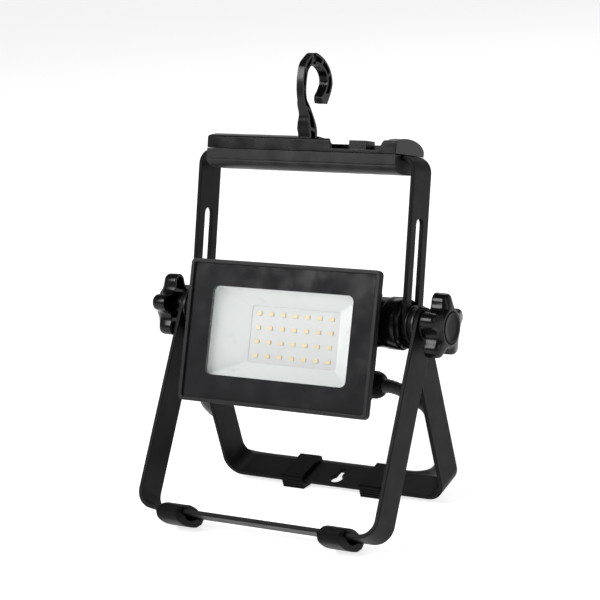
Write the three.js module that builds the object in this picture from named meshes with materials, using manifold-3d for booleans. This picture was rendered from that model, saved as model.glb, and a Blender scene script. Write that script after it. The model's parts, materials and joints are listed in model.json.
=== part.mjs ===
// Portable flood work light. Three U-shaped frames of flat steel bar turn on one pair of star-knob
// pivots: a front leg, a rear leg and a slotted upper frame with a handle and a fold-down hook.
// The lamp head hangs between them on two spacer barrels. Millimetres, +Z up, +X to the right of a
// person who faces the lamp, -Y towards that person. The origin is on the floor, at the middle of
// the object's outline without its mains lead.
import * as THREE from 'three';
import { mergeVertices } from 'three/addons/utils/BufferGeometryUtils.js';
import Module from 'manifold-3d';

const wasm = await Module();
wasm.setup();

// ---------------------------------------------------------------- driving dimensions
const GAP = 0.3; // clearance between touching pieces
const ROUND = 24; // facets of a small round piece
const PIVOT = { y: 19.6, z: 140.7 }; // the common pivot axis, which runs along X

const BAR_WIDTH = 25;
const BAR_THICK = 3;
const HALF_BAR = BAR_WIDTH / 2;
const STUD_RADIUS = 4; // M8
const STUD_HOLE = 4.35;

// reach: pivot to the outer face of the cross bar. lean: degrees away from upright.
const FRONT_LEG = { halfWidth: 98.1, reach: 152.3, lean: 31.65, bend: 14 };
const REAR_LEG = { halfWidth: 93, reach: 137.5, lean: 13.43, bend: 14 };
const UPPER = { halfWidth: 88.6, reach: 115.2, lean: 15.8, bend: 11 };
const SLOT = { radius: 4.65, travel: 68.3 };
const FRONT_FOOT_X = 66;
const REAR_FOOT_X = 33;
const FOOT_WIDTH = 17.6;

const HEAD_TILT = 20.25;
const HEAD = { halfWidth: 77.2, low: -68.1, high: 33.5, front: -33.5, middle: -17.3 };
const WINDOW = { halfWidth: 57.5, halfHeight: 31.5, middle: -16.5 };
const LEDS = { columns: 7, rows: 4, pitch: 10, width: 3.5, height: 2.8, plane: -9.8 };
const BOX = { halfWidth: 52, low: -56, high: 22, front: -18, back: 15.4 }; // driver box
const BARREL = { neck: 17.6, radius: 18.4, shoulder: 71, end: 85.3 };
const GLAND = { y: 5.5, z: -43.6 };

const HANDLE = { halfLength: 77.3, front: -20, back: 21, seam: 115.5, top: 126.8, low: 101.9 };
const RECESS = { front: -17.5, back: 16.8, floor: 116.5, end: 68.6 };
const HOOK_PIN = { x: 2, z: 119.2, radius: 1.5, hole: 1.8 };
const SCREW_X = [-70, 72.9];

const CORD_RADIUS = 4;
const BOOT_RADIUS = 4.6; // the moulded sleeve where the lead leaves its gland
const BOOT_POINTS = 6; // how many points of the route it covers
const COIL = { x: -181, y: 238, inner: 38, outer: 58, height: 18 };
const PLUG = { x: -235, radius: 19, back: 297, shoulder: 313.7, face: 347 };

// The lead's route from the gland to the coil, and from the coil to the plug, from the pivot.
const CORD_ROUTE = [
  [68, -9.9, -42.8], [71.5, -9.8, -42.9], [75.3, -8.7, -44], [78.8, -6, -46.5], [81, -1.7, -50.2],
  [82.4, 3.4, -54.5], [83.3, 9.8, -59.8], [83.8, 18, -66.3], [82.9, 26.5, -75.5], [82, 33.5, -86], [81, 39.5, -96],
  [79.8, 44.5, -106.5], [75.7, 49.6, -119.3], [66, 54.4, -130], [52, 57, -135.4], [36, 57.6, -136.4],
  [10, 57.6, -136.5], [-25, 57.6, -136.5], [-60, 57.6, -136.5], [-82, 57.8, -136.5],
  [-97, 59.5, -136.5], [-108.5, 64, -136.5], [-120, 72.5, -136.5], [-136.5, 91.5, -136.5],
  [-154, 113, -136.5], [-173.5, 131.5, -136.5], [-193.5, 147.5, -136.5], [-208, 161.5, -136.5],
  [-216.5, 176, -136.5], [-222, 189.5, -136.5],
];
const TAIL_ROUTE = [
  [-235.2, 272, -125.6], [-235.2, 279, -124], [-235.1, 287, -122.3], [-235, 292, -121.8],
  [-235, 296.4, -121.7],
];

// ---------------------------------------------------------------- finishes
const FINISH = {
  coat: { color: 0x29292b, roughness: 0.55, metalness: 0.2 },
  casing: { color: 0x2b2b2d, roughness: 0.5, metalness: 0.15 },
  plastic: { color: 0x161617, roughness: 0.25, metalness: 0 },
  grip: { color: 0x3a3839, roughness: 0.6, metalness: 0 },
  rubber: { color: 0x121212, roughness: 0.7, metalness: 0 },
  glass: { color: 0x303236, roughness: 0.05, metalness: 0 },
  white: { color: 0xe6e8e7, roughness: 0.35, metalness: 0 },
  board: { color: 0xf0f1f2, roughness: 0.5, metalness: 0 },
  steel: { color: 0xb5b7ba, roughness: 0.3, metalness: 0.9 },
  brass: { color: 0xc2a25a, roughness: 0.35, metalness: 0.9 },
  circuit: { color: 0x2f6a45, roughness: 0.6, metalness: 0 },
};

// ---------------------------------------------------------------- geometry helpers
function solid(geometry) {
  const bare = geometry.clone();
  bare.deleteAttribute('normal');
  bare.deleteAttribute('uv');
  const merged = mergeVertices(bare, 1e-4);
  return new wasm.Manifold(new wasm.Mesh({
    numProp: 3,
    vertProperties: new Float32Array(merged.attributes.position.array),
    triVerts: new Uint32Array(merged.index.array),
  }));
}

function geometryOf(body) {
  const mesh = body.getMesh();
  const geometry = new THREE.BufferGeometry();
  geometry.setAttribute('position', new THREE.BufferAttribute(mesh.vertProperties.slice(), 3));
  geometry.setIndex(new THREE.BufferAttribute(mesh.triVerts.slice(), 1));
  geometry.computeVertexNormals();
  return geometry;
}

const join = (...pieces) => geometryOf(pieces.map(solid).reduce((all, piece) => all.add(piece)));
const cut = (piece, ...tools) => geometryOf(tools.map(solid).reduce((left, tool) => left.subtract(tool),
  solid(piece)));
const both = (piece, other) => geometryOf(solid(piece).intersect(solid(other)));

const polygon = (points) => new THREE.Shape(points.map(([x, y]) => new THREE.Vector2(x, y)));

function extrude(shape, depth, curveSegments) {
  return new THREE.ExtrudeGeometry(shape, { depth, bevelEnabled: false, curveSegments });
}

// A side view (y, z) drawn as a shape and drawn out from x0 to x1.
function alongX(shape, x0, x1, curveSegments = 8) {
  const turn = new THREE.Matrix4().set(0, 0, 1, x0, 1, 0, 0, 0, 0, 1, 0, 0, 0, 0, 0, 1);
  return extrude(shape, x1 - x0, curveSegments).applyMatrix4(turn);
}

// A front view (x, z) drawn out from y0 to y1.
function alongY(shape, y0, y1, curveSegments = 8) {
  return extrude(shape, y1 - y0, curveSegments).rotateX(Math.PI / 2).translate(0, y1, 0);
}

// A plan view (x, y) drawn out from z0 to z1.
function alongZ(shape, z0, z1, curveSegments = 8) {
  return extrude(shape, z1 - z0, curveSegments).translate(0, 0, z0);
}

function block(x0, x1, y0, y1, z0, z1) {
  return new THREE.BoxGeometry(x1 - x0, y1 - y0, z1 - z0)
    .translate((x0 + x1) / 2, (y0 + y1) / 2, (z0 + z1) / 2);
}

function rodX(radius, x0, x1, y = 0, z = 0, facets = ROUND) {
  return new THREE.CylinderGeometry(radius, radius, x1 - x0, facets).rotateZ(Math.PI / 2)
    .translate((x0 + x1) / 2, y, z);
}

function rodY(radius, y0, y1, x = 0, z = 0, facets = ROUND) {
  return new THREE.CylinderGeometry(radius, radius, y1 - y0, facets)
    .translate(x, (y0 + y1) / 2, z);
}

function rodZ(radius, z0, z1, x = 0, y = 0, facets = ROUND) {
  return new THREE.CylinderGeometry(radius, radius, z1 - z0, facets).rotateX(Math.PI / 2)
    .translate(x, y, (z0 + z1) / 2);
}

// A turned piece about the X axis, from a list of [radius, x] that starts and ends on the axis.
function turnedX(profile, facets = ROUND) {
  const points = profile.map(([radius, x]) => new THREE.Vector2(radius, x));
  return new THREE.LatheGeometry(points, facets).rotateZ(-Math.PI / 2);
}

function ringX(outer, inner, x0, x1, facets = ROUND) {
  const profile = [[inner, x0], [outer, x0], [outer, x1], [inner, x1], [inner, x0]];
  return turnedX(profile, facets);
}

function roundedRectangle(halfWidth, low, high, radius) {
  const shape = new THREE.Shape();
  shape.absarc(halfWidth - radius, high - radius, radius, 0, Math.PI / 2);
  shape.absarc(-halfWidth + radius, high - radius, radius, Math.PI / 2, Math.PI);
  shape.absarc(-halfWidth + radius, low + radius, radius, Math.PI, 1.5 * Math.PI);
  shape.absarc(halfWidth - radius, low + radius, radius, 1.5 * Math.PI, 2 * Math.PI);
  return shape;
}

// A plate in the X-Z plane with rounded corners, from y0 to y1.
function plate(halfWidth, low, high, radius, y0, y1) {
  return alongY(roundedRectangle(halfWidth, low, high, radius), y0, y1, 4);
}

// A four-sided tapered block from one rectangle at y0 to another at y1, both centred on z.
function taper(y0, halfX0, halfZ0, y1, halfX1, halfZ1, z) {
  const corners = [];
  for (const [y, halfX, halfZ] of [[y0, halfX0, halfZ0], [y1, halfX1, halfZ1]]) {
    corners.push(-halfX, y, z - halfZ, halfX, y, z - halfZ, halfX, y, z + halfZ, -halfX, y, z + halfZ);
  }
  const geometry = new THREE.BufferGeometry();
  geometry.setAttribute('position', new THREE.BufferAttribute(new Float32Array(corners), 3));
  geometry.setIndex([0, 1, 2, 0, 2, 3, 4, 6, 5, 4, 7, 6, 0, 4, 5, 0, 5, 1,
    1, 5, 6, 1, 6, 2, 2, 6, 7, 2, 7, 3, 3, 7, 4, 3, 4, 0]);
  return geometry;
}

// ---------------------------------------------------------------- assembly helpers
const light = new THREE.Group();
const pivot = new THREE.Group();
pivot.position.set(0, PIVOT.y, PIVOT.z);
light.add(pivot);

// A group that leans back from the pivot by an angle in degrees, its own +Z along the frame.
function leaning(degrees) {
  const group = new THREE.Group();
  group.rotation.x = -THREE.MathUtils.degToRad(degrees);
  pivot.add(group);
  return group;
}

function add(group, name, geometry, finish) {
  const mesh = new THREE.Mesh(geometry, new THREE.MeshStandardMaterial(FINISH[finish]));
  mesh.name = name;
  group.add(mesh);
  return mesh;
}

const SIDES = [['left', -1], ['right', 1]];

// A piece drawn for the right side, or turned half round the vertical axis for the left side.
const onSide = (geometry, side) => (side < 0 ? geometry.clone().rotateZ(Math.PI) : geometry);

// ---------------------------------------------------------------- bent frames
// A U of flat bar, open end down and rounded about the pivot, its cross bar at +reach.
function bentFrame({ halfWidth, reach, bend }, armOpening) {
  const inner = bend - BAR_THICK;
  const outline = new THREE.Shape();
  outline.moveTo(halfWidth, -HALF_BAR);
  outline.lineTo(halfWidth, reach - bend);
  outline.absarc(halfWidth - bend, reach - bend, bend, 0, Math.PI / 2);
  outline.absarc(-halfWidth + bend, reach - bend, bend, Math.PI / 2, Math.PI);
  outline.lineTo(-halfWidth, -HALF_BAR);
  outline.lineTo(-halfWidth + BAR_THICK, -HALF_BAR);
  outline.lineTo(-halfWidth + BAR_THICK, reach - bend);
  outline.absarc(-halfWidth + bend, reach - bend, inner, Math.PI, Math.PI / 2, true);
  outline.absarc(halfWidth - bend, reach - bend, inner, Math.PI / 2, 0, true);
  outline.lineTo(halfWidth - BAR_THICK, -HALF_BAR);
  const side = new THREE.Shape();
  side.moveTo(HALF_BAR, reach + 1);
  side.lineTo(-HALF_BAR, reach + 1);
  side.absarc(0, 0, HALF_BAR, Math.PI, 2 * Math.PI);
  const blank = both(alongY(outline, -HALF_BAR, HALF_BAR), alongX(side, -halfWidth - 1, halfWidth + 1, 16));
  return cut(blank, alongX(armOpening, -halfWidth - 1, halfWidth + 1, 10));
}

function pivotHole() {
  const hole = new THREE.Shape();
  hole.absarc(0, 0, STUD_HOLE, 0, 2 * Math.PI);
  return hole;
}

// Where the floor is in a leg's own frame, at a distance y across the bar.
function floorLine(y, lean) {
  const angle = THREE.MathUtils.degToRad(lean);
  return (-PIVOT.z + y * Math.sin(angle)) / Math.cos(angle);
}

function frontFrame() {
  return bentFrame(FRONT_LEG, pivotHole()).rotateY(Math.PI);
}

function rearFrame() {
  const barZ = -REAR_LEG.reach;
  const frame = bentFrame(REAR_LEG, pivotHole()).rotateY(Math.PI);
  const head = rodZ(4.7, barZ - 1, barZ + BAR_THICK + 1, 0, -5.5);
  const neck = new THREE.Shape();
  neck.moveTo(-2.4, -4);
  neck.lineTo(2.4, -4);
  neck.lineTo(2.4, 4.6);
  neck.absarc(0, 4.6, 2.4, 0, Math.PI);
  return cut(frame, join(head, alongZ(neck, barZ - 1, barZ + BAR_THICK + 1)));
}

function upperFrame() {
  const slot = new THREE.Shape();
  slot.moveTo(SLOT.radius, SLOT.travel);
  slot.absarc(0, SLOT.travel, SLOT.radius, 0, Math.PI);
  slot.absarc(0, 0, SLOT.radius, Math.PI, 2 * Math.PI);
  const holes = SCREW_X.map((x) => rodZ(2, UPPER.reach - 5, UPPER.reach + 2, x, 0, 16));
  return cut(bentFrame(UPPER, slot), ...holes);
}

// ---------------------------------------------------------------- feet
// A rubber loop pushed over the front bar: an almond from the side, hollow under the bar.
function frontFoot(x) {
  const barZ = -FRONT_LEG.reach;
  const low = (y) => floorLine(y, FRONT_LEG.lean);
  const shape = new THREE.Shape();
  shape.moveTo(-20, barZ);
  shape.quadraticCurveTo(-14, -144.6, -4, -143.8);
  shape.quadraticCurveTo(8, -143.2, 16.4, -148.4);
  shape.lineTo(16.4, low(16.4));
  shape.lineTo(7.5, low(7.5));
  shape.quadraticCurveTo(-4, -164.5, -15.5, -160.6);
  shape.quadraticCurveTo(-19.6, -158.6, -20, barZ);
  const wide = HALF_BAR + GAP;
  const opening = new THREE.Path();
  opening.moveTo(-wide, barZ + BAR_THICK + GAP);
  opening.lineTo(-wide, barZ - GAP);
  opening.lineTo(-11, barZ - GAP);
  opening.quadraticCurveTo(-2, -164, 8, barZ - GAP);
  opening.lineTo(wide, barZ - GAP);
  opening.lineTo(wide, barZ + BAR_THICK + GAP);
  shape.holes.push(opening);
  return alongX(shape, x - FOOT_WIDTH / 2, x + FOOT_WIDTH / 2, 6);
}

// A moulded clip round the rear bar, with a raised top plate and a foot below.
function rearFoot(x) {
  const barZ = -REAR_LEG.reach;
  const low = (y) => floorLine(y, -REAR_LEG.lean);
  const shape = polygon([
    [-15.5, -132.6], [-15.5, low(-15.5)], [-5, low(-5)], [14, -141.5], [16.6, -139.5],
    [16.6, -132.6], [15.2, -131], [-13.8, -131],
  ]);
  const wide = HALF_BAR + GAP;
  const opening = new THREE.Path();
  opening.moveTo(-wide, barZ - GAP);
  opening.lineTo(-wide, barZ + BAR_THICK + GAP);
  opening.lineTo(wide, barZ + BAR_THICK + GAP);
  opening.lineTo(wide, barZ - GAP);
  shape.holes.push(opening);
  return alongX(shape, x - FOOT_WIDTH / 2, x + FOOT_WIDTH / 2);
}

// ---------------------------------------------------------------- handle and hook
function handleTop() {
  const { front, back, seam, top, halfLength } = HANDLE;
  const shape = new THREE.Shape();
  shape.moveTo(front, seam);
  shape.lineTo(back, seam);
  shape.lineTo(back, 119.5);
  shape.quadraticCurveTo(16, 126.4, -3, top);
  shape.quadraticCurveTo(-13, 126.8, -18.6, 122.6);
  shape.lineTo(front, 121.4);
  const inside = new THREE.Shape();
  inside.moveTo(front + 2.4, seam - 1);
  inside.lineTo(back - 2.4, seam - 1);
  inside.lineTo(back - 2.4, 118.6);
  inside.quadraticCurveTo(13, 124, -3, top - 2.4);
  inside.quadraticCurveTo(-12, 124.4, front + 2.4, 120.6);
  const over = top + 3;
  const island = block(36, 50, -13, -1, RECESS.floor - 1, 124.3);
  const recess = cut(block(5, RECESS.end, RECESS.front, RECESS.back, RECESS.floor, over), island);
  const knuckleSlot = block(-5.2, 6, -14.5, -2.4, seam - 1, over);
  const notch = polygon([[21.8, over], [25.6, 117.7], [63.5, 117.7], [69.4, over]]);
  return cut(
    alongX(shape, -halfLength, halfLength, 6),
    alongX(inside, -66, -8, 4),
    recess,
    knuckleSlot,
    alongY(notch, front - 1, RECESS.front + 1),
    rodY(HOOK_PIN.hole, -18, 3, HOOK_PIN.x, HOOK_PIN.z, 16),
    ...SCREW_X.map((x) => rodZ(1.9, seam - 1, 121.6, x, 0, 16)),
  );
}

function handleBottom() {
  const { front, back, seam, low, halfLength } = HANDLE;
  const shape = new THREE.Shape();
  shape.moveTo(front, seam - GAP);
  shape.lineTo(front, 108.3);
  shape.lineTo(front + 0.9, 107.6);
  shape.lineTo(front + 0.5, 106.6);
  shape.quadraticCurveTo(-16, low, -8, low);
  shape.lineTo(5, low);
  shape.quadraticCurveTo(18, 102.4, back - 0.6, 109);
  shape.lineTo(back, seam - GAP);
  const barLow = UPPER.reach - BAR_THICK - GAP;
  const channel = block(-halfLength - 1, halfLength + 1, -HALF_BAR - GAP, HALF_BAR + GAP, barLow, seam + 1);
  const hollow = block(-62, 62, -16, 16, 104.8, barLow + 1);
  const screwHoles = SCREW_X.flatMap((x) => [
    rodZ(1.9, low - 1, seam, x, 0, 16),
    rodZ(3.8, low - 1, 105.3, x, 0, 16),
  ]);
  return cut(alongX(shape, -halfLength, halfLength, 6), channel, hollow, ...screwHoles);
}

function handleScrew(x) {
  return join(rodZ(3.4, 102.5, 105, x, 0, 16), rodZ(1.6, 104, 121.2, x, 0, 16));
}

// The hook's outline in its own plane: a straight spine at the front and a curl to the back.
function hookOutline() {
  const point = ([y, z]) => new THREE.Vector2(y, z);
  const shape = new THREE.Shape();
  shape.moveTo(-13, 115.6);
  shape.lineTo(-13, 127);
  shape.splineThru([[-14.6, 135], [-15.9, 141], [-20.6, 147.5], [-23.6, 157], [-24, 168],
    [-22, 176], [-17.5, 180.5]].map(point));
  shape.lineTo(-11.2, 184.6);
  shape.splineThru([[-4, 183.6], [4.6, 179.8], [11.4, 173.6], [14.7, 165.5], [12.8, 158],
    [8.9, 150.4]].map(point));
  shape.lineTo(3.2, 150.4);
  shape.splineThru([[1.8, 154.6], [5.8, 160.6], [7.7, 166.2], [4.6, 172.2], [-3.2, 176.2],
    [-11.4, 176.4], [-17, 172.6], [-18.9, 166], [-17.9, 153], [-12.8, 144.5], [-6.6, 134],
    [-4, 126]].map(point));
  shape.lineTo(-4, 115.6);
  return shape;
}

function hook() {
  const outline = hookOutline();
  const front = new THREE.Shape();
  front.moveTo(4.4, 121.6);
  front.lineTo(4.3, 131);
  front.lineTo(2.6, 142);
  front.lineTo(-2.6, 142);
  front.lineTo(-4.3, 131);
  front.lineTo(-4.3, 124.5);
  front.absarc(HOOK_PIN.x, HOOK_PIN.z, 3.3, Math.PI, 2 * Math.PI);
  const base = both(alongX(outline, -5, 6, 3), alongY(front, -30, 30, 8));
  const spine = both(alongX(outline, -2.6, 2.6, 3), block(-9, 9, -30, 30, 138, 190));
  const curl = both(alongX(outline, -3.5, 3.5, 3), block(-9, 9, -10, 30, 145, 190));
  return cut(join(base, spine, curl), rodY(HOOK_PIN.hole, -20, 5, HOOK_PIN.x, HOOK_PIN.z, 16));
}

// ---------------------------------------------------------------- lamp head
function bezel() {
  const { halfWidth, low, high, front } = HEAD;
  const outer = plate(halfWidth, low, high, 3.5, front, -28);
  const seat = plate(halfWidth - 1.6, low + 1.6, high - 1.6, 2.4, front + 1.7, -27);
  const opening = plate(halfWidth - 2.7, low + 2.7, high - 2.7, 1.6, front - 1, -27);
  return cut(outer, seat, opening);
}

function frontGlass() {
  const edge = 1.6 + GAP;
  return plate(HEAD.halfWidth - edge, HEAD.low + edge, HEAD.high - edge, 2, HEAD.front + 2, -29);
}

function gasket() {
  const outer = plate(74.6, HEAD.low + 2.6, HEAD.high - 2.6, 2, -28.7, -28);
  return cut(outer, plate(70, HEAD.low + 7.2, HEAD.high - 7.2, 2, -30, -27));
}

function housing() {
  const edge = 2;
  const flange = plate(HEAD.halfWidth - edge, HEAD.low + edge, HEAD.high - edge, 3, -27.7, -24.5);
  const tray = plate(70, HEAD.low + 5, HEAD.high - 5, 4, -25, BOX.front);
  const driverBox = plate(BOX.halfWidth, BOX.low, BOX.high, 3, BOX.front - 1, BOX.back);
  const trayHollow = plate(67.6, HEAD.low + 7.4, HEAD.high - 7.4, 3, -29, -20.4);
  const lampHollow = plate(BOX.halfWidth - 2.6, BOX.low + 2.6, BOX.high - 2.6, 2, -22, -7.9);
  const mouth = plate(BOX.halfWidth - 0.2, BOX.low + 0.2, BOX.high - 0.2, 2, -22, BOX.front);
  const driverHollow = plate(BOX.halfWidth - 2.6, BOX.low + 2.6, BOX.high - 2.6, 2, -4.9, BOX.back + 1);
  const wire = rodY(3, -9, -4, 30, -43, 12);
  const glandHole = rodX(6.2, BOX.halfWidth - 5, BOX.halfWidth + 1, GLAND.y, GLAND.z);
  return cut(join(flange, tray, driverBox), trayHollow, mouth, lampHollow, driverHollow, wire, glandHole);
}

// The back plate closes the driver box and carries the cooling fins.
function rearCover() {
  const base = plate(BOX.halfWidth, BOX.low, BOX.high, 3, BOX.back + GAP, BOX.back + 3);
  const fins = [];
  for (let x = -40; x <= 40; x += 10) {
    fins.push(block(x - 1, x + 1, BOX.back + 2, BOX.back + 8.6, BOX.low + 3, BOX.high - 3));
  }
  const holes = coverScrewPlaces().map(([x, z]) => rodY(1.9, BOX.back - 1, BOX.back + 5, x, z, 16));
  return cut(join(base, ...fins), ...holes);
}

function coverScrewPlaces() {
  const places = [];
  for (const z of [BOX.low + 5, BOX.high - 5]) {
    for (const x of [-46, 46]) places.push([x, z]);
  }
  return places;
}

function coverScrew(x, z) {
  const head = rodY(3, BOX.back + 3.3, BOX.back + 5.4, x, z, 16);
  return join(head, rodY(1.5, BOX.back - 6, BOX.back + 4, x, z, 16));
}

// A white funnel from the window back to the LED board, with a flange that lies in the tray.
function reflector() {
  const z = WINDOW.middle;
  const back = LEDS.plane - GAP;
  const flange = block(-67, 67, -27.2, -25.8, z - 42, z + 40);
  const shell = taper(-27.2, 60, 34, back, 39, 23, z);
  const hollow = taper(-28.2, 59.4, 33.2, back + 1, 36.4, 20.4, z);
  return cut(join(flange, shell), hollow);
}

// The aluminium-core board, with the LED packages soldered on its front.
function ledBoard() {
  const z = WINDOW.middle;
  const board = block(-46, 46, LEDS.plane, LEDS.plane + 1.6, z - 27, z + 27);
  const packages = [];
  for (let column = 0; column < LEDS.columns; column += 1) {
    for (let row = 0; row < LEDS.rows; row += 1) {
      const x = (column - (LEDS.columns - 1) / 2) * LEDS.pitch;
      const up = z + (row - (LEDS.rows - 1) / 2) * LEDS.pitch;
      packages.push(block(x - LEDS.width / 2, x + LEDS.width / 2, LEDS.plane - 0.7, LEDS.plane + 0.5,
        up - LEDS.height / 2, up + LEDS.height / 2));
    }
  }
  return join(board, ...packages);
}

function driverBoard() {
  const board = block(-38, 30, -1.2, 0.4, -30, 12);
  const transformer = block(-14, 4, 0, 12, -18, 2);
  const choke = block(10, 20, 0, 9, -24, -10);
  const capacitor = rodY(5, 0, 13, -28, -10, 16);
  const feet = [[-34, -26], [-34, 8], [26, 8]].map(([x, z]) => rodY(2, -4.6, 0, x, z, 12));
  return join(board, transformer, choke, capacitor, ...feet);
}

// A moulded barrel between the driver box and the upper frame, bored for its threaded insert.
function barrel(side) {
  const start = BOX.halfWidth + GAP;
  const body = turnedX([[0, start], [BARREL.neck, start], [BARREL.neck, BARREL.shoulder],
    [BARREL.radius, BARREL.shoulder + 1], [BARREL.radius, BARREL.end - 3],
    [BARREL.radius - 1.3, BARREL.end - 3], [BARREL.radius - 1.3, BARREL.end], [0, BARREL.end]], 40);
  return onSide(cut(body, rodX(6.8, start - 1, BARREL.end + 1)), side);
}

const insert = (side) => onSide(ringX(6.5, STUD_RADIUS + GAP, 55, BARREL.end - 0.6), side);

function glandBody() {
  const hex = rodX(10.4, BOX.halfWidth + GAP, BOX.halfWidth + 5, 0, 0, 6);
  const thread = rodX(5.9, BOX.halfWidth - 4, BOX.halfWidth + 7);
  return cut(join(hex, thread), rodX(4.4, BOX.halfWidth - 6, BOX.halfWidth + 9)).translate(0, GLAND.y, GLAND.z);
}

function glandNut() {
  const start = BOX.halfWidth + 5.3;
  const profile = [[6.3, start], [9.8, start], [9.8, start + 5], [8.6, start + 8.4],
    [6, start + 10.1], [4.5, start + 10.1], [4.5, start + 7.4], [6.3, start + 7.4], [6.3, start]];
  return turnedX(profile, 24).translate(0, GLAND.y, GLAND.z);
}

const glandSeal = () => ringX(6, 4.3, BOX.halfWidth + 7.3, BOX.halfWidth + 12.3, 20)
  .translate(0, GLAND.y, GLAND.z);

// ---------------------------------------------------------------- pivots and knobs
const washer = (radius, x0, x1, side) => onSide(ringX(radius, STUD_HOLE, x0, x1), side);

// A five-lobed hand knob: lobes of a small radius joined by hollow curves, with a hub behind.
function knob(side, firstLobe) {
  const lobes = 5;
  const lobeRadius = 5.6;
  const lobeCentre = 17.8;
  const waist = 10.8;
  const shape = new THREE.Shape();
  for (let k = 0; k <= lobes; k += 1) {
    const at = THREE.MathUtils.degToRad(firstLobe) + (k * 2 * Math.PI) / lobes;
    const from = at - THREE.MathUtils.degToRad(86);
    const to = at + THREE.MathUtils.degToRad(86);
    const x = lobeCentre * Math.cos(at);
    const y = lobeCentre * Math.sin(at);
    if (k > 0) {
      const between = at - Math.PI / lobes;
      shape.quadraticCurveTo(waist * Math.cos(between), waist * Math.sin(between),
        x + lobeRadius * Math.cos(from), y + lobeRadius * Math.sin(from));
    }
    if (k < lobes) shape.absarc(x, y, lobeRadius, from, to);
  }
  const star = alongX(shape, 105, 115.4, 6);
  const boss = turnedX([[0, 100.2], [9.4, 100.2], [10.6, 106], [13.4, 115], [12.6, 117], [0, 117]], 32);
  const capSeat = rodX(11.3, 115.6, 118, 0, 0, 32);
  const bore = rodX(STUD_RADIUS + GAP, 99, 112.3);
  return onSide(cut(join(star, boss), capSeat, bore), side);
}

const knobCap = (side) => onSide(
  turnedX([[0, 115.9], [11, 115.9], [11, 118], [10, 118.6], [0, 118.6]], 32),
  side,
);
const stud = (side) => onSide(rodX(STUD_RADIUS, 58, 112), side);

// ---------------------------------------------------------------- mains lead
class Route extends THREE.CatmullRomCurve3 {
  constructor(points) {
    super(points.map((p) => new THREE.Vector3(...p)), false, 'centripetal');
  }
}

function tube(points, steps, radius = CORD_RADIUS) {
  const section = new THREE.Shape();
  section.absarc(0, 0, radius, 0, 2 * Math.PI);
  return new THREE.ExtrudeGeometry(section, { steps, extrudePath: new Route(points), curveSegments: 8 });
}

function coil() {
  const floor = -PIVOT.z;
  const { inner, outer, height } = COIL;
  const profile = [[inner, 0], [outer, 0], [outer, height], [inner, height], [inner, 0]];
  const points = profile.map(([radius, z]) => new THREE.Vector2(radius, z));
  return new THREE.LatheGeometry(points, 36).rotateX(Math.PI / 2).translate(COIL.x, COIL.y, floor);
}

function plugBody() {
  const { x, radius, back, shoulder, face } = PLUG;
  const profile = [[0, back], [6, back], [7.5, shoulder - 4], [12, shoulder], [radius - 1.5, face - 18],
    [radius, face - 6], [radius, face], [0, face]];
  return turnedX(profile, 32).rotateZ(Math.PI / 2).translate(x, 0, radius - PIVOT.z);
}

const plugPin = (offset) => rodY(2.4, PLUG.face + GAP, PLUG.face + 19, PLUG.x + offset,
  PLUG.radius - PIVOT.z, 16);

// ---------------------------------------------------------------- the object
const rearLeg = leaning(-REAR_LEG.lean);
const frontLeg = leaning(FRONT_LEG.lean);
const upper = leaning(UPPER.lean);
const head = leaning(HEAD_TILT);

add(rearLeg, 'rear_frame', rearFrame(), 'coat');
add(frontLeg, 'front_frame', frontFrame(), 'coat');
add(upper, 'upper_frame', upperFrame(), 'coat');
for (const [side, sign] of SIDES) {
  add(rearLeg, `rear_foot_${side}`, rearFoot(sign * REAR_FOOT_X), 'rubber');
  add(frontLeg, `front_foot_${side}`, frontFoot(sign * FRONT_FOOT_X), 'rubber');
}

add(upper, 'handle_top', handleTop(), 'plastic');
add(upper, 'handle_bottom', handleBottom(), 'grip');
add(upper, 'handle_screw_left', handleScrew(SCREW_X[0]), 'steel');
add(upper, 'handle_screw_right', handleScrew(SCREW_X[1]), 'steel');
add(upper, 'hook', hook(), 'plastic');
add(upper, 'hook_pin', rodY(HOOK_PIN.radius, -17.6, 2.6, HOOK_PIN.x, HOOK_PIN.z, 16), 'steel');

add(head, 'bezel', bezel(), 'casing');
add(head, 'front_glass', frontGlass(), 'glass');
add(head, 'gasket', gasket(), 'rubber');
add(head, 'housing', housing(), 'casing');
add(head, 'rear_cover', rearCover(), 'casing');
coverScrewPlaces().forEach(([x, z], k) => add(head, `cover_screw_${k + 1}`, coverScrew(x, z), 'steel'));
add(head, 'reflector', reflector(), 'white');
add(head, 'led_board', ledBoard(), 'board');
add(head, 'driver_board', driverBoard(), 'circuit');
add(head, 'gland_body', glandBody(), 'plastic');
add(head, 'gland_nut', glandNut(), 'plastic');
add(head, 'gland_seal', glandSeal(), 'rubber');

const KNOB_TURN = { left: 93, right: 80 };
for (const [side, sign] of SIDES) {
  add(head, `spacer_barrel_${side}`, barrel(sign), 'plastic');
  add(head, `threaded_insert_${side}`, insert(sign), 'brass');
  add(upper, `slot_washer_${side}`, washer(13.4, 88.9, 89.7, sign), 'plastic');
  add(rearLeg, `leg_washer_${side}`, washer(13.4, 93.3, 94.8, sign), 'plastic');
  add(pivot, `knob_washer_${side}`, washer(10.5, 98.4, 99.9, sign), 'steel');
  add(pivot, `knob_stud_${side}`, stud(sign), 'steel');
  add(pivot, `knob_${side}`, knob(sign, KNOB_TURN[side]), 'plastic');
  add(pivot, `knob_cap_${side}`, knobCap(sign), 'plastic');
}

const boot = tube(CORD_ROUTE.slice(0, BOOT_POINTS), 8, BOOT_RADIUS);
add(pivot, 'cord', join(tube(CORD_ROUTE, 56), boot), 'rubber');
add(pivot, 'cord_coil', coil(), 'rubber');
add(pivot, 'cord_tail', tube(TAIL_ROUTE, 6), 'rubber');
add(pivot, 'plug_body', plugBody(), 'plastic');
add(pivot, 'plug_pin_1', plugPin(-9.5), 'steel');
add(pivot, 'plug_pin_2', plugPin(9.5), 'steel');

export default light;
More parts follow.
